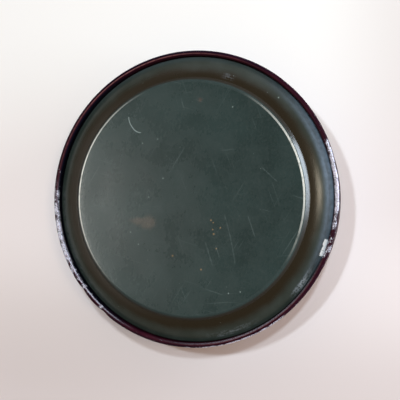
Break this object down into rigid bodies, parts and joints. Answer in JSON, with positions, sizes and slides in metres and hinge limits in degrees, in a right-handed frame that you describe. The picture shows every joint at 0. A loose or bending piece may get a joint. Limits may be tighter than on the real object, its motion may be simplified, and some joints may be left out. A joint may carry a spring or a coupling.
{
  "type": "shoe polish tin",
  "caption": "Round shallow slip-lid tin for shoe polish, closed and lying on its lid: curled lid hem, stepped base pan, wax inside; the base pulls off the lid.",
  "frame": {"origin": "middle of the lid's outer face, which the closed tin lies on with its underside up", "axes": "+Z along the tin's axis, from the lid's outer face to the base pan's foot panel; X and Y are alike, as the tin is round"},
  "size_m": [0.088, 0.088, 0.0198],
  "materials": {
    "lid_lacquer": "dark maroon lacquer on tinplate, worn to bright tin along the hem",
    "base_lacquer": "dark green-grey satin lacquer on tinplate, lightly scratched and spotted",
    "wax": "dark brown wax, wiped and cracked",
    "greaseproof_paper": "thin greaseproof paper, stained by wax"
  },
  "bodies": {
    "lid": {"lid": "lid_lacquer"},
    "base": {"base_pan": "base_lacquer", "wax_cake": "wax"},
    "paper": {"greaseproof_disc": "greaseproof_paper"}
  },
  "joints": [
    {"name": "base_lift", "type": "slide", "parent": "lid", "child": "base", "axis": [0, 0, 1], "range_m": [0, 0.05]},
    {"name": "disc_lift", "type": "slide", "parent": "lid", "child": "paper", "axis": [0, 0, 1], "range_m": [0, 0.006]}
  ]
}
